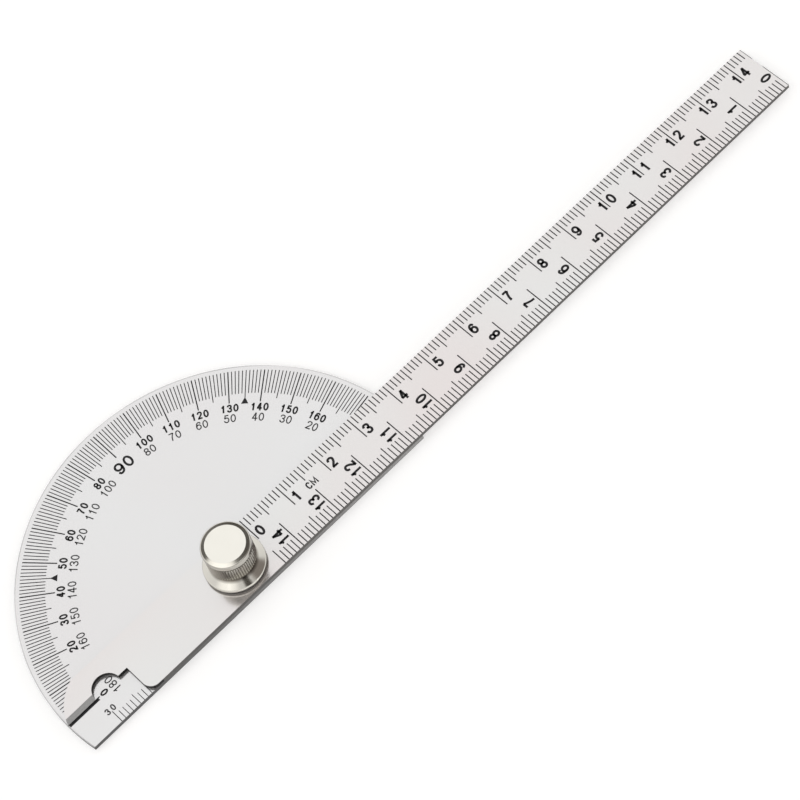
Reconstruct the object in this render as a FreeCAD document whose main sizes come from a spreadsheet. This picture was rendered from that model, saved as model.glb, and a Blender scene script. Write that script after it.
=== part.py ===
"""Bevel protractor: a half-disc degree plate, a ruler blade with an index tail, and a thumb nut.

Frame: the origin is on the pivot axis, at the plate's underside. +X runs along the blade to its tip,
+Y to the crown of the half disc and +Z up, towards the thumb nut. All sizes are in millimetres.
At rest the blade reads 0 degrees and its lower edge is flush with the plate's base edge.
"""
import FreeCAD, Part
import math
import os
import Sketcher

# Driving dimensions. Everything else is worked out from them in expressions.
SIZES = {
    # protractor plate
    "disc_radius": 45.5,       # pivot axis to the arc
    "base_drop": 7.3,          # pivot axis down to the straight base edge
    "plate_thick": 1.2,
    # pivot stud
    "shoulder_radius": 3.0,    # plain shoulder that the blade turns on
    "stud_head_radius": 3.9,   # countersunk head, flush with the plate's underside
    "stud_head_rim": 0.2,      # straight rim below the countersink
    "thread_radius": 2.0,      # M4 stud end
    "stud_tip_bevel": 0.4,
    "stud_end_gap": 0.8,       # stud end to the end of the nut's thread, with the nut tight
    "running_gap": 0.05,       # radial clearance of every turning fit
    "seat_gap": 0.1,           # end clearance, so that the nut clamps the blade and not the stud
    "face_gap": 0.02,          # the blade slides this far above the plate
    # ruler blade
    "blade_thick": 1.0,
    "blade_reach": 152.0,      # pivot axis to the blade's tip
    "blade_rise": 6.5,         # pivot axis up to the blade's upper edge
    "tail_margin": 0.1,        # the index corner stops this far inside the arc
    "tail_cut": 6.6,           # length of the tail's rounded end, along the blade
    "tail_end_radius": 11.0,
    "window_inset": 10.5,      # arc to the centre of the reading window
    "window_drop": 0.3,        # centre of the window, below the index line
    "window_radius": 3.2,
    "step_length": 5.5,        # centre of the window to the wall of the step
    "step_round": 2.2,         # rounded outer corner of the step
    "index_bevel": 0.9,        # width of the bevel along the index edge
    "index_lip": 0.15,         # what the bevel leaves of the thickness
    # friction washer
    "washer_thick": 0.5,
    "washer_radius": 5.7,
    "spigot_radius": 3.2,      # spigot under the nut, which carries the washer
    "spigot_flare": 0.2,       # staked lip that keeps the washer on the spigot
    # thumb nut, heights from its underside
    "nut_height": 8.9,
    "flange_radius": 6.5,
    "flange_thick": 0.8,
    "flange_bevel": 0.35,      # bevel under the flange's rim
    "neck_radius": 4.2,
    "skirt_rise": 1.5,         # height of the cone from the flange's rim to the neck
    "grip_radius": 5.15,
    "grip_start": 3.2,
    "grip_bevel": 0.4,         # bevelled underside of the grip
    "groove_width": 0.3,       # groove between the knurling and the crown
    "groove_depth": 0.3,
    "crown_height": 1.6,       # plain band above the groove
    "crown_flat": 4.17,        # radius of the flat top
    "crown_drop": 0.3,         # fall of the shallow bevel round the flat top
    "crown_wall": 0.9,         # metal left above the blind thread's hole
    "drill_point": 1.2,        # cone that the drill leaves above the thread
    "knurl_count": 60,
    "knurl_depth": 0.2,
    "knurl_crest": 0.02,       # the sharp crests stand this far inside the grip's radius
}

doc = FreeCAD.newDocument("BevelProtractor")
sheet = doc.addObject("Spreadsheet::Sheet", "sizes")
for row, (alias, value) in enumerate(SIZES.items(), start=1):
    sheet.set(f"A{row}", alias)
    sheet.set(f"B{row}", str(value))
    sheet.setAlias(f"B{row}", alias)
doc.recompute()


def full(formula):
    """The formula with each size's name led by the sheet's, as an expression needs it."""
    words = []
    word = ""
    for letter in formula + " ":
        if letter.isalnum() or letter == "_":
            word += letter
            continue
        words.append(f"sizes.{word}" if word in SIZES else word)
        words.append(letter)
        word = ""
    return "".join(words).strip()


def value_of(formula):
    """The formula's value with the sizes as they are now."""
    return float(sheet.evalExpression(full(formula)))


def new_body(name, height="0"):
    """A body whose own XY plane lies at the given height above the plate's underside."""
    body = doc.addObject("PartDesign::Body", name)
    body.Label = name
    body.setExpression("Placement.Base.z", full(height))
    return body


def new_sketch(body, name, plane, offset="0"):
    """A sketch on one of the body's own origin planes, moved along the plane's normal by offset."""
    sketch = body.newObject("Sketcher::SketchObject", name)
    datum = next(item for item in body.Origin.OriginFeatures if item.Role == plane)
    sketch.AttachmentSupport = [(datum, "")]
    sketch.MapMode = "FlatFace"
    sketch.setExpression("AttachmentOffset.Base.z", full(offset))
    return sketch


def drive(sketch, constraint, formula):
    """Add a dimension to the sketch and bind it to the formula."""
    index = sketch.addConstraint(constraint)
    sketch.setExpression(f"Constraints[{index}]", full(formula))


def pin_point(sketch, edge, end, across, up):
    """Dimension one end of an edge from the sketch's origin."""
    drive(sketch, Sketcher.Constraint("DistanceX", -1, 1, edge, end, value_of(across)), across)
    drive(sketch, Sketcher.Constraint("DistanceY", -1, 1, edge, end, value_of(up)), up)


def arc_between(start, end, radius, bulge):
    """The arc of that radius between two points, with its middle on the left of the way from start
    to end (bulge 1) or on the right (bulge -1). A bulge of 2 or -2 takes the longer way round.
    """
    chord = end - start
    left = FreeCAD.Vector(-chord.y, chord.x, 0).normalize() * math.copysign(1, bulge)
    to_centre = math.sqrt(max(radius ** 2 - (chord.Length / 2) ** 2, 0))
    if abs(bulge) == 2:
        to_centre = -to_centre
    centre = (start + end) * 0.5 - left * to_centre
    middle = centre + left * radius
    return Part.Arc(end, middle, start) if bulge > 0 else Part.Arc(start, middle, end)


def draw_outline(sketch, corners):
    """A closed outline. Each corner is (across, up), or (across, up, radius, bulge) where the edge
    that leaves it is an arc. Every corner and radius is a formula of the driving sizes.
    """
    points = [FreeCAD.Vector(value_of(corner[0]), value_of(corner[1]), 0) for corner in corners]
    edges = []
    for number, corner in enumerate(corners):
        start, end = points[number], points[(number + 1) % len(points)]
        if len(corner) == 2:
            edge = sketch.addGeometry(Part.LineSegment(start, end))
            edges.append((edge, 1, 2))
            continue
        edge = sketch.addGeometry(arc_between(start, end, value_of(corner[2]), corner[3]))
        # A sketch's arcs run anticlockwise, so one that bulges left was drawn from its far end.
        edges.append((edge, 2, 1) if corner[3] > 0 else (edge, 1, 2))
    for number, corner in enumerate(corners):
        edge, leaving, _ = edges[number]
        previous, _, arriving = edges[number - 1]
        sketch.addConstraint(Sketcher.Constraint("Coincident", previous, arriving, edge, leaving))
        pin_point(sketch, edge, leaving, corner[0], corner[1])
        if len(corner) > 2:
            drive(sketch, Sketcher.Constraint("Radius", edge, value_of(corner[2])), corner[2])


def draw_circle(sketch, radius, across="0", up="0"):
    """A full circle with its centre dimensioned from the sketch's origin."""
    centre = FreeCAD.Vector(value_of(across), value_of(up), 0)
    edge = sketch.addGeometry(Part.Circle(centre, FreeCAD.Vector(0, 0, 1), value_of(radius)))
    pin_point(sketch, edge, 3, across, up)
    drive(sketch, Sketcher.Constraint("Radius", edge, value_of(radius)), radius)


def pad(body, sketch, length):
    feature = body.newObject("PartDesign::Pad", f"{sketch.Name}_pad")
    feature.Profile = sketch
    feature.setExpression("Length", full(length))
    return feature


def pocket(body, sketch, length, upwards):
    feature = body.newObject("PartDesign::Pocket", f"{sketch.Name}_pocket")
    feature.Profile = sketch
    feature.Reversed = upwards
    feature.setExpression("Length", full(length))
    return feature


def turn(body, sketch, kind="PartDesign::Revolution"):
    """Turn a profile about the pivot axis, as a lathe would."""
    feature = body.newObject(kind, f"{sketch.Name}_turned")
    feature.Profile = sketch
    feature.ReferenceAxis = (sketch, ["V_Axis"])
    feature.Angle = 360
    return feature


# Formulas used by more than one piece.
HEAD_SEAT = "stud_head_rim + stud_head_radius - shoulder_radius"
BLADE_SEAT = "plate_thick + face_gap"
BLADE_TOP = f"{BLADE_SEAT} + blade_thick"
NUT_SEAT = f"{BLADE_TOP} + washer_thick"
THREAD_DEPTH = "nut_height - crown_wall - drill_point"


def make_plate():
    """Half disc with a straight strip below the pivot, and a countersunk hole for the stud."""
    body = new_body("protractor_plate")
    half_base = "sqrt(disc_radius^2 - base_drop^2)"
    outline = new_sketch(body, "plate_outline", "XY_Plane")
    draw_outline(outline, [
        (f"-{half_base}", "-base_drop"),
        (half_base, "-base_drop", "disc_radius", -2),
    ])
    pad(body, outline, "plate_thick")
    seat = new_sketch(body, "stud_seat", "XZ_Plane")
    draw_outline(seat, [
        ("0", "0"),
        ("stud_head_radius", "0"),
        ("stud_head_radius", "stud_head_rim"),
        ("shoulder_radius", HEAD_SEAT),
        ("shoulder_radius", "plate_thick"),
        ("0", "plate_thick"),
    ])
    turn(body, seat, "PartDesign::Groove")
    return body


def make_stud():
    """Turned stud: flush countersunk head, plain shoulder for plate and blade, threaded end."""
    body = new_body("pivot_stud")
    shoulder_top = f"{BLADE_TOP} - seat_gap"
    stud_top = f"{NUT_SEAT} + {THREAD_DEPTH} - stud_end_gap"
    profile = new_sketch(body, "stud_profile", "XZ_Plane")
    draw_outline(profile, [
        ("0", "0"),
        ("stud_head_radius", "0"),
        ("stud_head_radius", "stud_head_rim"),
        ("shoulder_radius", HEAD_SEAT),
        ("shoulder_radius", shoulder_top),
        ("thread_radius", shoulder_top),
        ("thread_radius", f"{stud_top} - stud_tip_bevel"),
        ("thread_radius - stud_tip_bevel", stud_top),
        ("0", stud_top),
    ])
    turn(body, profile)
    return body


def make_blade():
    """Ruler blade whose tail ends in a bevelled index edge, with a round window beside it."""
    body = new_body("blade", BLADE_SEAT)
    tail_reach = "(disc_radius - tail_margin)"
    window = "(disc_radius - window_inset)"
    half_window = "sqrt(window_radius^2 - window_drop^2)"
    step = f"({window} - step_length)"
    outline = new_sketch(body, "blade_outline", "XY_Plane")
    draw_outline(outline, [
        ("blade_reach", "-base_drop"),
        ("blade_reach", "blade_rise"),
        (f"tail_cut - {tail_reach}", "blade_rise", "tail_end_radius", -1),
        (f"-{tail_reach}", "0"),
        (f"-{window} - {half_window}", "0", "window_radius", 1),
        (f"-{window} + {half_window}", "0"),
        (f"-{step}", "0"),
        (f"-{step}", "step_round - base_drop", "step_round", -1),
        (f"step_round - {step}", "-base_drop"),
    ])
    draw_circle(outline, "shoulder_radius + running_gap")
    pad(body, outline, "blade_thick")
    bevel = new_sketch(body, "index_bevel_section", "YZ_Plane", f"-{window}")
    draw_outline(bevel, [
        ("0", "index_lip"),
        ("index_bevel", "blade_thick"),
        ("0", "blade_thick"),
    ])
    pocket(body, bevel, "window_inset", upwards=False)
    return body


def make_washer():
    """Thin washer, countersunk below so that the spigot's staked lip holds it."""
    body = new_body("friction_washer", BLADE_TOP)
    bore = "(spigot_radius + running_gap)"
    section = new_sketch(body, "washer_section", "XZ_Plane")
    draw_outline(section, [
        (f"{bore} + spigot_flare", "0"),
        ("washer_radius", "0"),
        ("washer_radius", "washer_thick"),
        (bore, "washer_thick"),
        (bore, "running_gap + spigot_flare + seat_gap"),
        (f"{bore} + spigot_flare", "running_gap + seat_gap"),
    ])
    turn(body, section)
    return body


def make_nut():
    """Tall thumb nut: flange, conical skirt, knurled grip, groove, crown and blind thread."""
    body = new_body("thumb_nut", NUT_SEAT)
    bore = "thread_radius + running_gap"
    lip = "seat_gap - washer_thick"
    crown_base = "nut_height - crown_height"
    grip_top = f"{crown_base} - groove_width"
    grip_underside = "grip_start - grip_bevel"
    section = new_sketch(body, "nut_section", "XZ_Plane")
    draw_outline(section, [
        (bore, lip),
        ("spigot_radius + spigot_flare", lip),
        ("spigot_radius", f"{lip} + spigot_flare"),
        ("spigot_radius", "0"),
        ("flange_radius - flange_bevel", "0"),
        ("flange_radius", "flange_bevel"),
        ("flange_radius", "flange_thick"),
        ("neck_radius", "flange_thick + skirt_rise"),
        ("neck_radius", grip_underside),
        ("grip_radius - grip_bevel", grip_underside),
        ("grip_radius", "grip_start"),
        ("grip_radius", grip_top),
        ("grip_radius - groove_depth", grip_top),
        ("grip_radius - groove_depth", crown_base),
        ("grip_radius", crown_base),
        ("grip_radius", "nut_height - crown_drop"),
        ("crown_flat", "nut_height"),
        ("0", "nut_height"),
        ("0", "nut_height - crown_wall"),
        (bore, THREAD_DEPTH),
    ])
    turn(body, section)
    notch = new_sketch(body, "knurl_notch", "XY_Plane", grip_underside)
    root = "grip_radius - knurl_depth"
    outer = "grip_radius + knurl_depth"
    crest_half = "(grip_radius - knurl_crest) * tan(180 / knurl_count)"
    half_notch = f"{crest_half} * 2 * knurl_depth / (knurl_depth - knurl_crest)"
    draw_outline(notch, [
        (root, "0"),
        (outer, half_notch),
        (outer, f"-({half_notch})"),
    ])
    cut = pocket(body, notch, f"{grip_top} - ({grip_underside})", upwards=True)
    doc.recompute()
    knurl = body.newObject("PartDesign::PolarPattern", "knurling")
    knurl.Originals = [cut]
    knurl.Axis = (notch, ["N_Axis"])
    knurl.Angle = 360
    knurl.setExpression("Occurrences", full("knurl_count"))
    body.Tip = knurl
    return body


pieces = [make_plate(), make_stud(), make_blade(), make_washer(), make_nut()]
doc.recompute()

for item in doc.Objects:
    if "Invalid" in item.State or "Error" in item.State:
        raise RuntimeError(f"{item.Name} failed: {item.State}")
for piece in pieces:
    if piece.Shape.isNull() or not piece.Shape.isValid() or len(piece.Shape.Solids) != 1:
        raise RuntimeError(f"{piece.Label} is not one valid solid")

os.makedirs("parts", exist_ok=True)
for piece in pieces:
    piece.Shape.exportStep(f"parts/{piece.Label}.step")
    box = piece.Shape.BoundBox
    print(f"{piece.Label}: {piece.Shape.Volume:.1f} mm3, x {box.XMin:.2f} to {box.XMax:.2f}, "
          f"y {box.YMin:.2f} to {box.YMax:.2f}, z {box.ZMin:.2f} to {box.ZMax:.2f}")
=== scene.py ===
"""Bevel protractor: half-disc degree plate, ruler blade with a reading window, knurled thumb nut."""

import math

import bmesh
import bpy
from mathutils import Matrix, Vector


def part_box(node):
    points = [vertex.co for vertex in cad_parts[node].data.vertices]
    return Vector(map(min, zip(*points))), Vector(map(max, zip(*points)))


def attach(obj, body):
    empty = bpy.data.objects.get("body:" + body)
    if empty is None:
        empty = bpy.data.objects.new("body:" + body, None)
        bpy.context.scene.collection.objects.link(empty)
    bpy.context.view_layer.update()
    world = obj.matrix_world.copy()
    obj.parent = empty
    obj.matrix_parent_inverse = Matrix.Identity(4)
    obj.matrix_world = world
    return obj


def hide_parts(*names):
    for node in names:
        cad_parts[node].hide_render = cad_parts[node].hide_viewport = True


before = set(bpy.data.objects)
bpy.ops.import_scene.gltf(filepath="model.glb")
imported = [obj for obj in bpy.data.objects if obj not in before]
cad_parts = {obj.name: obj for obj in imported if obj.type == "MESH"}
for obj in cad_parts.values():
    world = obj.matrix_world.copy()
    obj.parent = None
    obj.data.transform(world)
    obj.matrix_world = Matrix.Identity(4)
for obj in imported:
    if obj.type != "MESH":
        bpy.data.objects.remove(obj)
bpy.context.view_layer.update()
scene = bpy.context.scene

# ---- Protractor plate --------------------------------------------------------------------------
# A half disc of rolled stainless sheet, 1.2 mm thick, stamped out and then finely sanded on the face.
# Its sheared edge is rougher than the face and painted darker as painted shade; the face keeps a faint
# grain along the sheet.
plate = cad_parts["protractor_plate"]
plate_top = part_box("protractor_plate")[1][2]


def grey(value):
    """A neutral colour."""
    return (value, value, value, 1)


def feed(tree, socket, value):
    """Gives an input a link or a plain value; None leaves it as it is."""
    if isinstance(value, bpy.types.NodeSocket):
        tree.links.new(value, socket)
    elif value is not None:
        socket.default_value = value


def maths(tree, kind, first, second=None, third=None, clamp=False):
    """A Math node on sockets or numbers."""
    node = tree.nodes.new("ShaderNodeMath")
    node.operation = kind
    node.use_clamp = clamp
    for socket, value in zip(node.inputs, (first, second, third)):
        feed(tree, socket, value)
    return node.outputs[0]


def mixed(tree, factor, first, second):
    """A colour mix of two sockets or colours."""
    node = tree.nodes.new("ShaderNodeMix")
    node.data_type = "RGBA"
    # The node has sockets for every kind of mix: 6, 7 and the third output are the colours'.
    for socket, value in zip((node.inputs[0], node.inputs[6], node.inputs[7]), (factor, first, second)):
        feed(tree, socket, value)
    return node.outputs[2]


def scaled(tree, colour, factor):
    """A colour made lighter or darker by a factor."""
    node = tree.nodes.new("ShaderNodeVectorMath")
    node.operation = "SCALE"
    feed(tree, node.inputs[0], colour)
    feed(tree, node.inputs["Scale"], factor)
    return node.outputs[0]


def graded(tree, value, start, end, lowest=0.0, blend="LINEAR"):
    """A mask that goes from lowest at start to 1 at end, and stays level beyond them."""
    node = tree.nodes.new("ShaderNodeMapRange")
    node.interpolation_type = blend
    feed(tree, node.inputs["Value"], value)
    node.inputs["From Min"].default_value = start
    node.inputs["From Max"].default_value = end
    node.inputs["To Min"].default_value = lowest
    return node.outputs[0]


def noise(tree, vector, scale, detail=2.0, stretch=(1, 1, 1)):
    """Noise on a stretched copy of the vector, from 0 to 1."""
    mapping = tree.nodes.new("ShaderNodeMapping")
    mapping.inputs["Scale"].default_value = stretch
    feed(tree, mapping.inputs["Vector"], vector)
    node = tree.nodes.new("ShaderNodeTexNoise")
    feed(tree, node.inputs["Scale"], scale)
    node.inputs["Detail"].default_value = detail
    feed(tree, node.inputs["Vector"], mapping.outputs[0])
    return node.outputs["Fac"]


def new_group(name, inputs, outputs):
    """A shader node group with the named sockets; returns it with its input and output nodes."""
    group = bpy.data.node_groups.new(name, "ShaderNodeTree")
    for label, kind, value in inputs:
        socket = group.interface.new_socket(label, in_out="INPUT", socket_type="NodeSocket" + kind)
        if value is not None:
            socket.default_value = value
    for label, kind in outputs:
        group.interface.new_socket(label, in_out="OUTPUT", socket_type="NodeSocket" + kind)
    return group, group.nodes.new("NodeGroupInput"), group.nodes.new("NodeGroupOutput")


def rolled_steel_group():
    """Sanded sheet: grain along the sheet, slow warm and cool tints, and painted shade on bevels and
    walls.
    """
    group, inside, outside = new_group(
        "rolled_steel",
        [("Position", "Vector", None), ("Facing", "Vector", None),
         ("Face Colour", "Color", grey(0.8)), ("Warm Tint", "Color", (0.8, 0.76, 0.74, 1)),
         ("Bevel Colour", "Color", grey(0.3)), ("Wall Colour", "Color", grey(0.2)),
         ("Tint Scale", "Float", 30.0),
         ("Grain Strength", "Float", 0.025), ("Face Roughness", "Float", 0.15),
         ("Edge Roughness", "Float", 0.5)],
        [("Color", "Color"), ("Roughness", "Float"), ("Normal", "Vector")])
    socket = inside.outputs
    position = socket["Position"]

    # The grain runs along X, and the tints are wide patches with soft borders.
    grain = noise(group, position, scale=1.0, detail=3.0, stretch=(120, 6000, 900))
    tint = noise(group, position, socket["Tint Scale"], detail=1.0)
    tint_contrast, tint_shift = 2.6, -0.85
    warm = maths(group, "MULTIPLY_ADD", tint, tint_contrast, tint_shift, clamp=True)
    shade = maths(group, "MULTIPLY_ADD", maths(group, "SUBTRACT", grain, 0.5),
                  socket["Grain Strength"], 1.0)
    face = scaled(group, mixed(group, warm, socket["Face Colour"], socket["Warm Tint"]), shade)

    # What isn't level is a cut edge: a bevel, or a wall where it is steep.
    level_from, steep_below = 0.95, 0.3
    facing = group.nodes.new("ShaderNodeSeparateXYZ")
    feed(group, facing.inputs[0], socket["Facing"])
    level = maths(group, "ABSOLUTE", facing.outputs["Z"])
    edge = maths(group, "LESS_THAN", level, level_from)
    wall = maths(group, "LESS_THAN", level, steep_below)
    speckle_contrast, speckle_shift = 0.9, 0.55
    speckle = maths(group, "MULTIPLY_ADD", noise(group, position, scale=5000.0), speckle_contrast,
                    speckle_shift)
    # The bevel and wall colours are darker than the face: painted shade on the cut edges.
    cut = scaled(group, mixed(group, wall, socket["Bevel Colour"], socket["Wall Colour"]), speckle)
    feed(group, outside.inputs["Color"], mixed(group, edge, face, cut))

    grain_roughness = 0.04
    rough = maths(group, "MULTIPLY_ADD", grain, grain_roughness, socket["Face Roughness"])
    rougher = maths(group, "SUBTRACT", socket["Edge Roughness"], rough)
    feed(group, outside.inputs["Roughness"], maths(group, "MULTIPLY_ADD", edge, rougher, rough))
    bump = group.nodes.new("ShaderNodeBump")
    bump.inputs["Strength"].default_value = 0.05
    bump.inputs["Distance"].default_value = 0.00002
    feed(group, bump.inputs["Height"], grain)
    feed(group, outside.inputs["Normal"], bump.outputs[0])
    return group


rolled_steel = rolled_steel_group()


def new_material(name, metallic):
    """A material with its Principled shader; returns it with the tree, the shader and its space."""
    material = bpy.data.materials.new(name)
    material.use_nodes = True
    tree = material.node_tree
    shader = tree.nodes["Principled BSDF"]
    shader.inputs["Metallic"].default_value = metallic
    return material, tree, shader, tree.nodes.new("ShaderNodeTexCoord")


def place_of(tree):
    """The X, Y and Z of Object space, and the distance from the pivot's axis."""
    parts = tree.nodes.new("ShaderNodeSeparateXYZ")
    feed(tree, parts.inputs[0], tree.nodes["Texture Coordinate"].outputs["Object"])
    x, y, z = parts.outputs
    squares = maths(tree, "ADD", maths(tree, "POWER", x, 2.0), maths(tree, "POWER", y, 2.0))
    return x, y, z, maths(tree, "POWER", squares, 0.5)


def sheet_steel(name, **values):
    """Rolled stainless with the given group values, spaces in their names written as _."""
    # The sanding scatters a quarter of the light, so that the sheet mirrors less than bare metal.
    material, tree, shader, space = new_material(name, metallic=0.75)
    steel = tree.nodes.new("ShaderNodeGroup")
    steel.name = "steel"
    steel.node_tree = rolled_steel
    for label, value in values.items():
        steel.inputs[label.replace("_", " ")].default_value = value
    feed(tree, steel.inputs["Position"], space.outputs["Object"])
    feed(tree, steel.inputs["Facing"], space.outputs["Normal"])
    feed(tree, shader.inputs["Base Color"], steel.outputs["Color"])
    feed(tree, shader.inputs["Roughness"], steel.outputs["Roughness"])
    feed(tree, shader.inputs["Normal"], steel.outputs["Normal"])
    return material


def plate_stainless():
    """The plate's steel, with painted shade in a thin band round the arc and on walls, which lighten
    along X.
    """
    material = sheet_steel("plate_stainless", Warm_Tint=(0.722, 0.708, 0.708, 1))
    tree = material.node_tree
    steel = tree.nodes["steel"]
    x, _, _, radius = place_of(tree)
    # A thin band round the arc is painted darker: painted shade along the arc's edge.
    rim_shade_start = 0.04528
    rim_shade = maths(tree, "GREATER_THAN", radius, rim_shade_start)
    feed(tree, steel.inputs["Face Colour"], mixed(tree, rim_shade, grey(0.73), grey(0.36)))
    # The walls are painted darkest at negative X and lighten along X: painted shade.
    dark_until, light_from = -0.03, 0.045
    feed(tree, steel.inputs["Wall Colour"],
         mixed(tree, graded(tree, x, dark_until, light_from), grey(0.12), (0.38, 0.375, 0.37, 1)))
    return material


def dress(node, material):
    """Gives a CAD piece one material throughout."""
    node.data.materials.clear()
    node.data.materials.append(material)


dress(plate, plate_stainless())

# ---- Degree scale ------------------------------------------------------------------------------
# One line a degree, longer at the fives and the tens, etched in black round the arc of the plate.
# Each line is a film a hundredth of a millimetre high, and stays under the blade's clearance.
etch = 0.00001
plate_print = plate_top + etch


def etched(name, colour):
    """Black etching, mottled a little where the acid took unevenly."""
    material, tree, shader, space = new_material(name, metallic=0.0)
    mottle = noise(tree, space.outputs["Object"], scale=900.0)
    lighter = tuple(part * 1.6 + 0.01 for part in colour[:3]) + (1,)
    feed(tree, shader.inputs["Base Color"], mixed(tree, mottle, colour, lighter))
    shader.inputs["Roughness"].default_value = 0.6
    shader.inputs["Specular IOR Level"].default_value = 0.25
    return material


black_etch = etched("black_etch", (0.012, 0.012, 0.013, 1))
grey_etch = etched("grey_etch", (0.045, 0.045, 0.047, 1))


class Nodes:
    """A Geometry Nodes tree with short ways to add and link its nodes."""

    def __init__(self, name, inputs):
        self.tree = bpy.data.node_groups.new(name, "GeometryNodeTree")
        self.sockets = {}
        for label, kind in inputs:
            socket = self.tree.interface.new_socket(label, in_out="INPUT",
                                                    socket_type="NodeSocket" + kind)
            self.sockets[label] = socket.identifier
        self.tree.interface.new_socket("Geometry", in_out="OUTPUT",
                                       socket_type="NodeSocketGeometry")
        self.inside = self.tree.nodes.new("NodeGroupInput")
        self.outside = self.tree.nodes.new("NodeGroupOutput")

    def value(self, label):
        """The tree's own input of that name."""
        return self.inside.outputs[label]

    def add(self, kind, links=None, **settings):
        """A node with its settings, and its inputs linked or set."""
        node = self.tree.nodes.new(kind)
        for key, setting in settings.items():
            setattr(node, key, setting)
        for key, source in (links or {}).items():
            feed(self.tree, node.inputs[key], source)
        return node

    def run(self, name, values, material):
        """The tree's result on an empty mesh, as a plain mesh object."""
        holder = bpy.data.objects.new(name, bpy.data.meshes.new(name))
        scene.collection.objects.link(holder)
        modifier = holder.modifiers.new("made", "NODES")
        modifier.node_group = self.tree
        for label, value in values.items():
            modifier[self.sockets[label]] = value
        modifier[self.sockets["Material"]] = material
        view = holder.evaluated_get(bpy.context.evaluated_depsgraph_get())
        made = bpy.data.meshes.new_from_object(view)
        holder.modifiers.remove(modifier)
        holder.data = made
        return holder


def graded_lines(name, inputs, place):
    """Lines one after another, graded at every 5 and 10; place gives each line's spot and turn."""
    nodes = Nodes(name, [("Count", "Int"), ("Unit Length", "Float"), ("Five Length", "Float"),
                         ("Ten Length", "Float"), ("Width", "Float"), ("Ten Width", "Float"),
                         ("Height", "Float"), *inputs, ("Material", "Material")])
    tree = nodes.tree
    unit_length, five_length = nodes.value("Unit Length"), nodes.value("Five Length")
    width = nodes.value("Width")
    spots = nodes.add("GeometryNodePoints", {"Count": nodes.value("Count")})
    index = nodes.add("GeometryNodeInputIndex").outputs[0]
    spot, turn = place(nodes, index)
    placed = nodes.add("GeometryNodeSetPosition", {"Geometry": spots.outputs[0], "Position": spot})
    # A remainder under a half is none, which marks each tenth and each fifth line.
    ten = maths(tree, "LESS_THAN", maths(tree, "MODULO", index, 10.0), 0.5)
    five = maths(tree, "LESS_THAN", maths(tree, "MODULO", index, 5.0), 0.5)
    longer = maths(tree, "MULTIPLY", five, maths(tree, "SUBTRACT", five_length, unit_length))
    longest = maths(tree, "MULTIPLY", ten,
                    maths(tree, "SUBTRACT", nodes.value("Ten Length"), five_length))
    length = maths(tree, "ADD", unit_length, maths(tree, "ADD", longer, longest))
    wide = maths(tree, "MULTIPLY_ADD", ten, maths(tree, "SUBTRACT", nodes.value("Ten Width"), width),
                 width)
    # Each line is a square of side 1, hung from its spot by one end and stretched to its size.
    line = nodes.add("GeometryNodeMeshGrid", {"Size X": 1.0, "Size Y": 1.0, "Vertices X": 2,
                                              "Vertices Y": 2})
    hung = nodes.add("GeometryNodeTransform", {"Geometry": line.outputs["Mesh"],
                                               "Translation": (0.0, -0.5, 0.0)})
    size = nodes.add("ShaderNodeCombineXYZ", {"X": wide, "Y": length, "Z": 1.0})
    lines = nodes.add("GeometryNodeInstanceOnPoints", {
        "Points": placed.outputs[0], "Instance": hung.outputs[0], "Rotation": turn,
        "Scale": size.outputs[0]})
    real = nodes.add("GeometryNodeRealizeInstances", {"Geometry": lines.outputs[0]})
    coloured = nodes.add("GeometryNodeSetMaterial", {"Geometry": real.outputs[0],
                                                     "Material": nodes.value("Material")})
    feed(tree, nodes.outside.inputs[0], coloured.outputs[0])
    return nodes


def round_the_arc(nodes, index):
    """Lines hang inwards from the arc, one step of angle apart."""
    tree = nodes.tree
    angle = maths(tree, "MULTIPLY", index, nodes.value("Step"))
    radius = nodes.value("Radius")
    spot = nodes.add("ShaderNodeCombineXYZ", {
        "X": maths(tree, "MULTIPLY", radius, maths(tree, "COSINE", angle)),
        "Y": maths(tree, "MULTIPLY", radius, maths(tree, "SINE", angle)),
        "Z": nodes.value("Height")})
    turn = nodes.add("ShaderNodeCombineXYZ", {"Z": maths(tree, "SUBTRACT", angle, math.pi / 2)})
    return spot.outputs[0], turn.outputs[0]


arc_lines = graded_lines("arc_lines", [("Radius", "Float"), ("Step", "Float")], round_the_arc)
scale_radius = 0.04445
unit_end, five_end, ten_end = 0.0391, 0.0380, 0.0371
degree_lines = arc_lines.run("degree_lines", {
    "Count": 181, "Unit Length": scale_radius - unit_end, "Five Length": scale_radius - five_end,
    "Ten Length": scale_radius - ten_end, "Width": 0.00019, "Ten Width": 0.00026,
    "Height": plate_print, "Radius": scale_radius, "Step": math.radians(1)}, black_etch)
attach(degree_lines, "plate")

# ---- Degree numbers ----------------------------------------------------------------------------
# Two rows read the angle from either side: a bold outer row, and a light inner row counting back.
# Solid triangles mark 45 and 135 degrees. All are etched with the lines.
outer_row, outer_height = 0.0359, 0.00183
inner_row, inner_height = 0.03358, 0.00186
ninety_row, ninety_height = 0.0347, 0.0028
pointer_row, pointer_half, pointer_length = 0.0382, 0.00077, 0.0015


def bend(*points, steps=5):
    """A smooth line through the points."""
    spread = [points[0], *points, points[-1]]
    line = []
    for before, first, last, after in zip(spread, spread[1:], spread[2:], spread[3:]):
        for i in range(steps):
            t = i / steps
            line.append(tuple(0.5 * (2 * b + (c - a) * t + (2 * a - 5 * b + 4 * c - d) * t * t
                                     + (3 * b - a - 3 * c + d) * t ** 3)
                              for a, b, c, d in zip(before, first, last, after)))
    return line + [points[-1]]


def oval(middle, reach, half_width=1.0, steps=20):
    """A closed oval ring round a point of the letter's middle line."""
    turns = [2 * math.pi * i / steps for i in range(steps + 1)]
    return [(math.sin(turn) * half_width, middle + reach * math.cos(turn)) for turn in turns]


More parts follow.
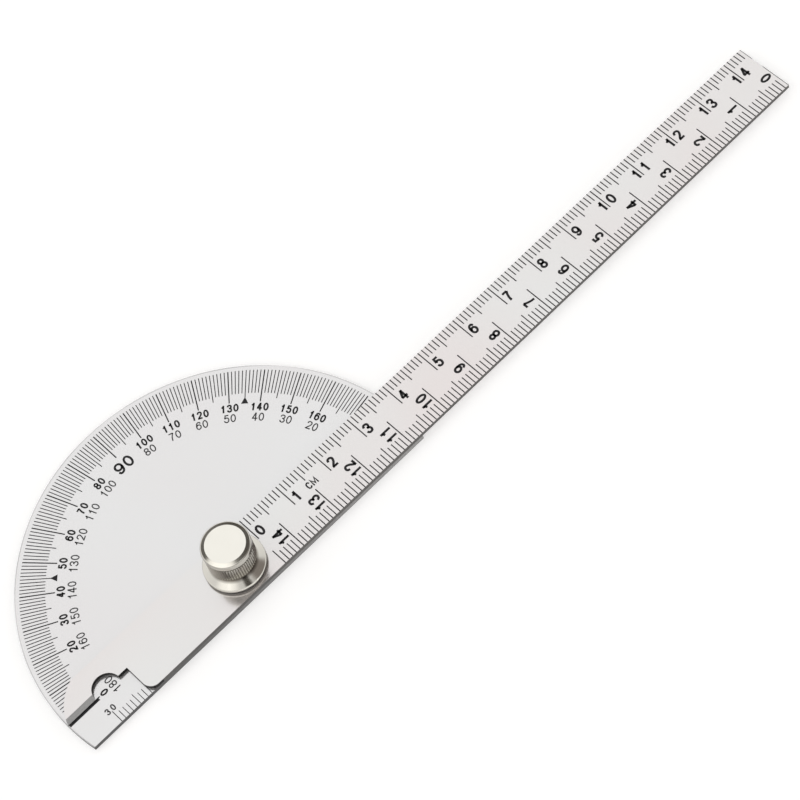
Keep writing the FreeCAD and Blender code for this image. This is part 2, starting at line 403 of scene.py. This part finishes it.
# The middle line of every stroke, in a box from -1 to 1 each way.
strokes = {
    "0": [oval(0, 1)],
    "1": [[(0.25, -1.2), (0.25, 1.2)], [(0.25, 0.95), (-0.1, 0.62), (-0.75, 0.42)]],
    "2": [bend((-1, 0.42), (-0.72, 0.86), (0, 1), (0.78, 0.82), (0.92, 0.42), (0.45, -0.12),
               (-0.4, -0.62), (-0.85, -1)), [(-1.25, -1), (1.2, -1)]],
    "3": [bend((-1, 0.5), (-0.65, 0.9), (0, 1), (0.75, 0.82), (0.82, 0.4), (0.4, 0.1), (-0.25, 0.06)),
          bend((-0.25, 0.06), (0.5, 0.02), (0.98, -0.42), (0.75, -0.86), (0, -1), (-0.7, -0.86),
               (-1, -0.48))],
    "4": [[(0.42, 1.15), (-1, -0.42)], [(-1.25, -0.45), (1.35, -0.45)], [(0.42, 1.2), (0.42, -1.2)]],
    "5": [[(0.95, 1), (-0.62, 1), (-0.85, 0.02)],
          bend((-0.85, 0.02), (-0.1, 0.3), (0.75, 0.1), (1, -0.36), (0.68, -0.86), (0, -1),
               (-0.72, -0.86), (-1, -0.5))],
    "6": [oval(-0.36, 0.64), bend((0.92, 0.55), (0.6, 0.92), (0.05, 1), (-0.68, 0.74), (-0.98, 0.1),
                                  (-1, -0.36))],
    "7": [[(-1.1, 1), (1, 1)], bend((1, 1), (0.3, 0.3), (-0.15, -0.45), (-0.3, -1.2))],
    "8": [oval(0.52, 0.48, half_width=0.86), oval(-0.48, 0.52)],
    "9": [oval(0.36, 0.64), bend((-0.92, -0.55), (-0.6, -0.92), (-0.05, -1), (0.68, -0.74),
                                 (0.98, -0.1), (1, 0.36))],
    "C": [bend((1, 0.45), (0.6, 0.88), (0, 1), (-0.72, 0.76), (-1, 0), (-0.72, -0.76), (0, -1),
               (0.6, -0.88), (1, -0.45))],
    "M": [[(-1, -1.2), (-1, 1), (0, -0.75), (1, 1), (1, -1.2)]],
}
broad_letters = {"M": 1.3}


def ribbon(line, half):
    """Both sides of a stroke; sharp corners are mitred and a closed line joins up."""
    touching, sharpest = 1e-9, 0.5
    closed = math.dist(line[0], line[-1]) < touching
    sides = []
    for i, point in enumerate(line):
        before = line[i - 1] if i else (line[-2] if closed else None)
        after = line[i + 1] if i + 1 < len(line) else (line[1] if closed else None)
        ways = [(Vector(end) - Vector(start)).normalized()
                for start, end in ((before, point), (point, after))
                if start is not None and end is not None]
        way = sum(ways, Vector((0, 0))).normalized()
        reach = half / max(sharpest, way.dot(ways[0]))
        aside = Vector((-way.y, way.x)) * reach
        sides.append((Vector(point) + aside, Vector(point) - aside))
    return sides


def printed(words, height, centre, turn, level, weight=0.2, pitch=0.74, width=0.62,
            material=black_etch):
    """A number centred on a point, turned, and lying at a level.

    The weight of its strokes, the pitch and the width of its figures are shares of its height.
    """
    vertices, faces = [], []
    for place, letter in enumerate(words):
        middle = (place - (len(words) - 1) / 2) * pitch
        wide = width * broad_letters.get(letter, 1)
        for line in strokes[letter]:
            line = [(middle + x * (wide - weight) / 2, y * (1 - weight) / 2) for x, y in line]
            # A stroke that overruns the box is cut off at the head or the foot.
            line = [(x, max(-0.5, min(0.5, y))) for x, y in line]
            sides = ribbon(line, weight / 2)
            start = len(vertices)
            vertices += [(*corner, 0) for side in sides for corner in side]
            faces += [(start + 2 * i + 1, start + 2 * i + 3, start + 2 * i + 2, start + 2 * i)
                      for i in range(len(sides) - 1)]
    mesh = bpy.data.meshes.new("print")
    mesh.from_pydata(vertices, [], faces)
    mesh.transform(Matrix.Translation((*centre, level)) @ Matrix.Rotation(turn, 4, "Z")
                   @ Matrix.Diagonal((height, height, 1, 1)))
    mesh.materials.append(material)
    return mesh


def patch(points, level, material):
    """One flat face through the points, at a level."""
    mesh = bpy.data.meshes.new("patch")
    mesh.from_pydata([(x, y, level) for x, y in points], [], [list(range(len(points)))])
    mesh.materials.append(material)
    return mesh


def one_piece(name, meshes, materials, body):
    """Joins flat meshes into one piece on a body; each mesh keeps its own material."""
    joined = bmesh.new()
    for mesh in meshes:
        start = len(joined.faces)
        joined.from_mesh(mesh)
        joined.faces.ensure_lookup_table()
        for face in joined.faces[start:]:
            face.material_index = materials.index(mesh.materials[0])
    joined.normal_update()
    for face in joined.faces:
        if face.normal.z < 0:
            face.normal_flip()
    mesh = bpy.data.meshes.new(name)
    joined.to_mesh(mesh)
    joined.free()
    for material in materials:
        mesh.materials.append(material)
    piece = bpy.data.objects.new(name, mesh)
    scene.collection.objects.link(piece)
    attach(piece, body)


def on_arc(reading, radius):
    """The point of the plate at a reading and a distance from the pivot, and its outward turn."""
    angle = math.pi - math.radians(reading)
    return (radius * math.cos(angle), radius * math.sin(angle)), angle - math.pi / 2


# The 10 and the 170 stand nearer the zero lines, where the blade at rest covers them.
moved_numbers = {10: 8.2, 170: 171.8}
numbers = []
for reading in range(0, 181, 10):
    if reading == 90:
        centre, turn = on_arc(90, ninety_row)
        numbers.append(printed("90", ninety_height, centre, turn, plate_print, weight=0.175,
                               pitch=0.85, width=0.7))
        continue
    place = moved_numbers.get(reading, reading)
    centre, turn = on_arc(place, outer_row)
    numbers.append(printed(str(reading), outer_height, centre, turn, plate_print))
    centre, turn = on_arc(place, inner_row)
    numbers.append(printed(str(180 - reading), inner_height, centre, turn, plate_print,
                           weight=0.14, material=grey_etch))
for reading in (45, 135):
    (x, y), turn = on_arc(reading, pointer_row)
    pointer = patch([(0, 0), (-pointer_half, -pointer_length), (pointer_half, -pointer_length)], 0,
                    black_etch)
    pointer.transform(Matrix.Translation((x, y, plate_print)) @ Matrix.Rotation(turn, 4, "Z"))
    numbers.append(pointer)
one_piece("degree_numbers", numbers, [black_etch, grey_etch], "plate")

# ---- Base edge scale ---------------------------------------------------------------------------
# Millimetre lines stand on the plate's base edge, numbered at each centimetre outwards from 0,
# with the middle left clear for the stud. Broad black bands lie along the zero lines of the degrees:
# part the printed zero line, part painted shadow beside the blade's index edge.
millimetre, centimetre = 0.001, 0.01
base_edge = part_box("protractor_plate")[0][1]
base_zero = 0.0075
base_number_row, base_number_height = -0.0037, 0.0015
band_start, band_end, band_width = 0.0375, 0.0453, 0.0006


def along_an_edge(nodes, index):
    """Lines stand on a straight edge, one pitch apart, and point the way of Turn."""
    spot = nodes.add("ShaderNodeCombineXYZ", {
        "X": maths(nodes.tree, "MULTIPLY_ADD", index, nodes.value("Pitch"), nodes.value("Start")),
        "Y": nodes.value("Edge"), "Z": nodes.value("Height")})
    turn = nodes.add("ShaderNodeCombineXYZ", {"Z": nodes.value("Turn")})
    return spot.outputs[0], turn.outputs[0]


edge_lines = graded_lines("edge_lines", [("Start", "Float"), ("Pitch", "Float"), ("Edge", "Float"),
                                         ("Turn", "Float")], along_an_edge)
for name, side in (("base_lines_left", -1), ("base_lines_right", 1)):
    lines = edge_lines.run(name, {
        "Count": 31, "Unit Length": 0.0022, "Five Length": 0.0028, "Ten Length": 0.0031,
        "Width": 0.00016, "Ten Width": 0.00018, "Height": plate_print, "Start": side * base_zero,
        "Pitch": side * millimetre, "Edge": base_edge, "Turn": math.pi}, grey_etch)
    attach(lines, "plate")
numbers = []
for side in (-1, 1):
    for count in range(4):
        centre = (side * (base_zero + count * centimetre), base_number_row)
        numbers.append(printed(str(count * 10), base_number_height, centre, 0.0, plate_print,
                               weight=0.19, pitch=0.95, material=grey_etch))
    # Each band is the zero line widened with painted shadow of the index edge.
    numbers.append(patch([(side * band_start, -band_width), (side * band_end, -band_width),
                          (side * band_end, 0), (side * band_start, 0)], plate_print, black_etch))
one_piece("base_numbers", numbers, [black_etch, grey_etch], "plate")

# ---- Ruler blade -------------------------------------------------------------------------------
# A strip of the same stainless, 1 mm thick, with a bevelled index edge at its tail and a window
# through which the degree is read. It turns on the stud and lies on the plate.
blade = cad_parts["blade"]
blade_low, blade_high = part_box("blade")
blade_print = blade_high[2] + etch


def blade_stainless():
    """The blade's steel, with walls painted near black in the tail, as painted shade where the numbers
    are read.
    """
    material = sheet_steel("blade_stainless", Face_Colour=(0.73, 0.73, 0.722, 1),
                           Warm_Tint=(0.73, 0.685, 0.676, 1), Bevel_Colour=grey(0.42),
                           Tint_Scale=28.0)
    tree = material.node_tree
    # Walls at the tail are painted near black: painted shade in the window and round the index edge.
    tail_wall_shade_to = -0.0262
    tail_wall_shade = maths(tree, "LESS_THAN", place_of(tree)[0], tail_wall_shade_to)
    feed(tree, tree.nodes["steel"].inputs["Wall Colour"],
         mixed(tree, tail_wall_shade, (0.13, 0.125, 0.12, 1), grey(0.006)))
    return material


dress(blade, blade_stainless())

# ---- Blade scales ------------------------------------------------------------------------------
# Centimetres from beside the pivot to the tip on the upper edge, read along the blade, and from the
# tip back on the lower edge, read across it. The lines stand on the very edges of the strip.
ruler_zero = 0.007
blade_tip = blade_high[0]
ruler_height = 0.00265
upper_row, lower_row = 0.0019, -0.0025
for name, start, pitch, edge, turn, lengths in (
        ("upper_lines", ruler_zero, millimetre, blade_high[1], 0.0, (0.00235, 0.0035, 0.0059)),
        ("lower_lines", blade_tip, -millimetre, blade_low[1], math.pi, (0.0029, 0.0039, 0.0073))):
    lines = edge_lines.run(name, {
        "Count": 146, "Unit Length": lengths[0], "Five Length": lengths[1],
        "Ten Length": lengths[2], "Width": 0.00024, "Ten Width": 0.00026,
        "Height": blade_print, "Start": start, "Pitch": pitch, "Edge": edge, "Turn": turn},
        grey_etch)
    # One line stands on the very end of the strip, and the half of it past the end is cut off.
    cut = bmesh.new()
    cut.from_mesh(lines.data)
    bmesh.ops.bisect_plane(cut, geom=cut.verts[:] + cut.edges[:] + cut.faces[:],
                           plane_co=(blade_tip, 0, 0), plane_no=(1, 0, 0), clear_outer=True)
    cut.to_mesh(lines.data)
    cut.free()
    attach(lines, "blade")

# One figure stands beside its line, and two stand on either side of an upper line's foot.
one_figure_aside, two_figures_aside, lower_aside = 0.00145, 0.0003, 0.0018
unit_mark_place, unit_mark_height = (0.0224, 0.0016), 0.00175
numbers = []
for count in range(15):
    aside = one_figure_aside if count < 10 else two_figures_aside
    numbers.append(printed(str(count), ruler_height,
                           (ruler_zero + count * centimetre + aside, upper_row), 0.0, blade_print,
                           weight=0.195, pitch=0.95))
    numbers.append(printed(str(count), ruler_height,
                           (blade_tip - count * centimetre - lower_aside, lower_row), math.pi / 2,
                           blade_print, weight=0.195))
numbers.append(printed("CM", unit_mark_height, unit_mark_place, 0.0, blade_print, weight=0.19,
                       pitch=0.8))
one_piece("ruler_numbers", numbers, [black_etch, grey_etch], "blade")

# ---- Pivot stud --------------------------------------------------------------------------------
# A turned steel stud pressed into the plate, flush underneath. It carries the blade and the nut.
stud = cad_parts["pivot_stud"]
dress(stud, sheet_steel("stud_turned", Face_Colour=grey(0.62), Warm_Tint=(0.58, 0.57, 0.56, 1),
                        Bevel_Colour=grey(0.5), Wall_Colour=grey(0.45)))

# ---- Friction washer ---------------------------------------------------------------------------
# A punched ring of dark fibre, staked on the nut's spigot, which grips the blade when it is tight.
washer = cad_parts["friction_washer"]


def pressed_fibre():
    """Matt dark fibre with a fine fleck."""
    material, tree, shader, space = new_material("washer_fibre", metallic=0.0)
    fleck = noise(tree, space.outputs["Object"], scale=2500.0, detail=4.0)
    feed(tree, shader.inputs["Base Color"], mixed(tree, fleck, grey(0.03), (0.09, 0.085, 0.08, 1)))
    shader.inputs["Roughness"].default_value = 0.8
    return material


dress(washer, pressed_fibre())

# ---- Thumb nut ---------------------------------------------------------------------------------
# Turned brass with bright nickel plate: flange, conical skirt, straight knurl, groove and crown.
# All but the knurl is cut on the lathe. The edges of flange and crown are broken with a small
# rounding, and a fillet leads from the skirt to the neck.
nut_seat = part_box("friction_washer")[1][2]
# Heights count from the seat, where the flange's underside lies on the washer.
nut_height = 0.0089
thread, thread_end, drill_end = 0.00205, 0.0068, 0.008
spigot, lip = 0.0032, 0.0002
flange, flange_top, flange_bevel = 0.0065, 0.0008, 0.00035
neck, skirt_top = 0.0042, 0.0023
grip, grip_foot, grip_bevel = 0.00515, 0.0028, 0.0004
crown_foot, crown_flat, crown_drop = 0.0073, 0.00417, 0.0003
groove = 0.0003
grip_head = crown_foot - groove
knurls = 60
knurl_depth, knurl_crest = 0.0002, 0.00002
around = knurls * 4
hair = 1e-6


def edge_broken(before, corner, after, radius, steps=5):
    """A corner of the section, rounded between its two neighbours."""
    before, corner, after = Vector(before), Vector(corner), Vector(after)
    inwards = (before - corner).normalized() * radius
    outwards = (after - corner).normalized() * radius
    curve = [corner + inwards * (1 - t) ** 2 + outwards * t ** 2
             for t in (i / steps for i in range(steps + 1))]
    # One more ring on each side keeps the shading of the long faces flat.
    spread = 1.15
    return [tuple(point) for point in (corner + inwards * spread, *curve,
                                       corner + outwards * spread)]


# The section from the blind hole out and up to the flat top: the radius and height of each corner,
# and how far back its edge is broken.
nut_corners = [
    (0.0, drill_end, 0), (thread, thread_end, 0), (thread, -2 * lip, 0), (spigot + lip, -2 * lip, 0),
    (spigot, -lip, 0), (spigot, 0.0, 0), (flange - flange_bevel, 0.0, 0),
    (flange, flange_bevel, 0.0001), (flange, flange_top, 0.00022), (neck, skirt_top, 0.0005),
    (neck, grip_foot, 0), (grip - grip_bevel, grip_foot, 0), (grip, grip_foot + grip_bevel, 0),
    (grip, grip_head, 0), (grip - groove, grip_head, 0), (grip - groove, crown_foot, 0),
    (grip, crown_foot, 0.00012), (grip, nut_height - crown_drop, 0.00028),
    (crown_flat, nut_height, 0.00006), (0.0, nut_height, 0)]
nut_section = []
for number, (radius, height, broken) in enumerate(nut_corners):
    if broken:
        nut_section += edge_broken(nut_corners[number - 1][:2], (radius, height),
                                   nut_corners[number + 1][:2], broken)
    else:
        nut_section.append((radius, height))


def knurled(radius, height, step):
    """The radius at one of the steps round the nut, cut back where a knurl's flank runs."""
    valley = grip - knurl_depth
    if not grip_foot - hair < height < grip_head + hair or radius < valley - hair:
        return radius
    phase = abs(((step / around * knurls + 0.5) % 1.0) - 0.5) * 2
    return min(radius, valley + phase * (knurl_depth - knurl_crest))


def nickel_plate():
    """Bright nickel, with oxide in the knurl's valleys and painted shade on the knurl, under the grip,
    under the flange and on the crown's side.
    """
    material, tree, shader, space = new_material("nickel_plate", metallic=1.0)
    cloud = noise(tree, space.outputs["Object"], scale=300.0, detail=3.0)
    bright = mixed(tree, cloud, (0.77, 0.75, 0.69, 1), (0.73, 0.71, 0.65, 1))
    _, _, z, radius = place_of(tree)

    # The knurl is painted dark: its valleys darkest, as oxide and painted shade, and its crests about
    # half as dark, as painted shade.
    grip_from, grip_to = nut_seat + 0.0022, nut_seat + 0.00705
    crests_from, valleys_from = grip - 0.00002, grip - 0.00017
    on_grip = maths(tree, "MULTIPLY", maths(tree, "GREATER_THAN", z, grip_from),
                    maths(tree, "LESS_THAN", z, grip_to))
    oxide_and_shade = maths(tree, "MULTIPLY", graded(tree, radius, crests_from, valleys_from, lowest=0.45),
                 on_grip)

    # Painted shade in the corner under the grip fades out along the skirt.
    skirt_to = nut_seat + 0.0025
    fade_from, corner_from = 0.0053, 0.0047
    corner = maths(tree, "MULTIPLY", graded(tree, radius, fade_from, corner_from),
                   maths(tree, "LESS_THAN", z, skirt_to))
    oxide_and_shade = maths(tree, "MAXIMUM", oxide_and_shade, corner)

    # The flange's underside and lower bevel are painted dark: painted shade, which also darkens their
    # reflection in the blade.
    underside_shade_to = nut_seat + 0.00032
    oxide_and_shade = maths(tree, "MAXIMUM", oxide_and_shade, maths(tree, "LESS_THAN", z, underside_shade_to))
    # The crown's side is painted about half as dark: painted shade.
    crown_inside, crown_from, crown_shade_share = grip - 0.00012, nut_seat + 0.0072, 0.45
    crown = maths(tree, "MULTIPLY", maths(tree, "GREATER_THAN", radius, crown_inside),
                  maths(tree, "GREATER_THAN", z, crown_from))
    oxide_and_shade = maths(tree, "MAXIMUM", oxide_and_shade, maths(tree, "MULTIPLY", crown, crown_shade_share))

    # Where the mask is full, the nickel goes most of the way to dark brown: oxide and painted shade.
    oxide_and_shade_depth = 0.9
    feed(tree, shader.inputs["Base Color"],
         mixed(tree, maths(tree, "MULTIPLY", oxide_and_shade, oxide_and_shade_depth), bright, (0.10, 0.085, 0.065, 1)))
    cloud_roughness, least_roughness = 0.1, 0.08
    feed(tree, shader.inputs["Roughness"],
         maths(tree, "MULTIPLY_ADD", cloud, cloud_roughness, least_roughness))
    return material


turned = bmesh.new()
rings = []
for radius, height in nut_section:
    level = nut_seat + height
    if radius == 0.0:
        rings.append([turned.verts.new((0, 0, level))] * around)
        continue
    ring = []
    for step in range(around):
        angle = 2 * math.pi * step / around
        reach = knurled(radius, height, step)
        ring.append(turned.verts.new((reach * math.cos(angle), reach * math.sin(angle), level)))
    rings.append(ring)
for lower, upper in zip(rings, rings[1:]):
    for step in range(around):
        after = (step + 1) % around
        corners = [lower[step], lower[after], upper[after], upper[step]]
        # At the axis two of the corners are one, and the face has three.
        turned.faces.new(list(dict.fromkeys(corners)))
bmesh.ops.recalc_face_normals(turned, faces=turned.faces)
nut_mesh = bpy.data.meshes.new("thumb_nut_turned")
turned.to_mesh(nut_mesh)
turned.free()
nut_mesh.shade_smooth()
nut_mesh.set_sharp_from_angle(angle=math.radians(20))
nut_mesh.materials.append(nickel_plate())
nut = bpy.data.objects.new("thumb_nut_turned", nut_mesh)
scene.collection.objects.link(nut)
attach(nut, "nut")
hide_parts("thumb_nut")

# ---- Studio ------------------------------------------------------------------------------------
# A white table under a pale sky. What the metal mirrors is laid over the sky: a window in a dark
# frame, a bounce board, a dark wall and the camera. Two soft lamps add a little light of their own.
table_reach, table_level, table_glow = 3, -0.0002, 0.43


def white_table():
    """White paint whose faint glow reaches only the camera and what mirrors it."""
    material, tree, shader, _ = new_material("white_table", metallic=0.0)
    shader.inputs["Base Color"].default_value = grey(0.8)
    shader.inputs["Roughness"].default_value = 0.9
    shader.inputs["Emission Color"].default_value = grey(1)
    ray = tree.nodes.new("ShaderNodeLightPath").outputs
    mirrored = maths(tree, "MAXIMUM", ray["Is Glossy Ray"], ray["Is Transmission Ray"])
    seen = maths(tree, "MAXIMUM", ray["Is Camera Ray"], mirrored)
    feed(tree, shader.inputs["Emission Strength"], maths(tree, "MULTIPLY", seen, table_glow))
    return material


table_mesh = patch([(-table_reach, -table_reach), (table_reach, -table_reach),
                    (table_reach, table_reach), (-table_reach, table_reach)], table_level,
                   white_table())
table = bpy.data.objects.new("table", table_mesh)
scene.collection.objects.link(table)

sky = bpy.data.worlds.new("studio")
sky.use_nodes = True
heavens = sky.node_tree
direction = heavens.nodes.new("ShaderNodeTexCoord").outputs["Generated"]


def pale_sky():
    """The sky, a little brighter at the horizon than overhead."""
    parts = heavens.nodes.new("ShaderNodeSeparateXYZ")
    feed(heavens, parts.inputs[0], direction)
    ramp = heavens.nodes.new("ShaderNodeValToRGB")
    for stop, position, colour in zip(ramp.color_ramp.elements, (0.25, 0.75),
                                      ((0.92, 0.91, 0.90, 1), (0.72, 0.71, 0.70, 1))):
        stop.position = position
        stop.color = colour
    feed(heavens, ramp.inputs[0], parts.outputs["Z"])
    return ramp.outputs[0]


def patch_of_sky(under, centre, inner, outer, colour):
    """Lays a round soft-edged patch of light or dark over the sky; its reach is in degrees."""
    near = heavens.nodes.new("ShaderNodeVectorMath")
    near.operation = "DOT_PRODUCT"
    feed(heavens, near.inputs[0], direction)
    near.inputs[1].default_value = Vector(centre).normalized()
    edge = graded(heavens, near.outputs["Value"], math.cos(math.radians(outer)),
                  math.cos(math.radians(inner)), blend="SMOOTHSTEP")
    return mixed(heavens, edge, under, colour)


# The way to the middle of each, seen from the object.
dark_wall = (0.55, -0.45, 0.70)
window = (0.22, 0.455, 0.863)
bounce_board = (-0.47, 0.03, 0.882)
camera_body = (-0.08, -0.57, 0.82)
light = patch_of_sky(pale_sky(), dark_wall, 14, 30, (0.24, 0.215, 0.20, 1))
light = patch_of_sky(light, window, 34, 39, (0.075, 0.068, 0.058, 1))  # its frame
light = patch_of_sky(light, window, 19, 25, grey(1.19))
light = patch_of_sky(light, bounce_board, 20, 32, (1.25, 1.23, 1.20, 1))
light = patch_of_sky(light, camera_body, 5, 11, (0.06, 0.054, 0.045, 1))
feed(heavens, heavens.nodes["Background"].inputs["Color"], light)
scene.world = sky


def softbox(name, place, aim, size, power):
    """A square soft light at a place, aimed at a point."""
    lamp = bpy.data.lights.new(name, "AREA")
    lamp.size = size
    lamp.energy = power
    holder = bpy.data.objects.new(name, lamp)
    holder.location = place
    holder.rotation_euler = (Vector(aim) - Vector(place)).to_track_quat("-Z", "Y").to_euler()
    scene.collection.objects.link(holder)


softbox("board", place=(-0.55, 0.03, 1.05), aim=(0.03, 0, 0), size=0.7, power=0.2)
softbox("side", place=(0.25, -0.75, 0.22), aim=(0, 0, 0), size=0.06, power=0.05)

camera = bpy.data.cameras.new("camera")
camera.lens = 143.77
camera.sensor_width = 36.0
camera.clip_start = 0.01
viewer = bpy.data.objects.new("camera", camera)
viewer.location = (-0.0934595, -0.2904074, 0.5557339)
viewer.rotation_euler = (math.radians(28.6925), math.radians(10.3305), math.radians(-43.8664))
scene.collection.objects.link(viewer)
scene.camera = viewer

scene.view_settings.view_transform = "Standard"
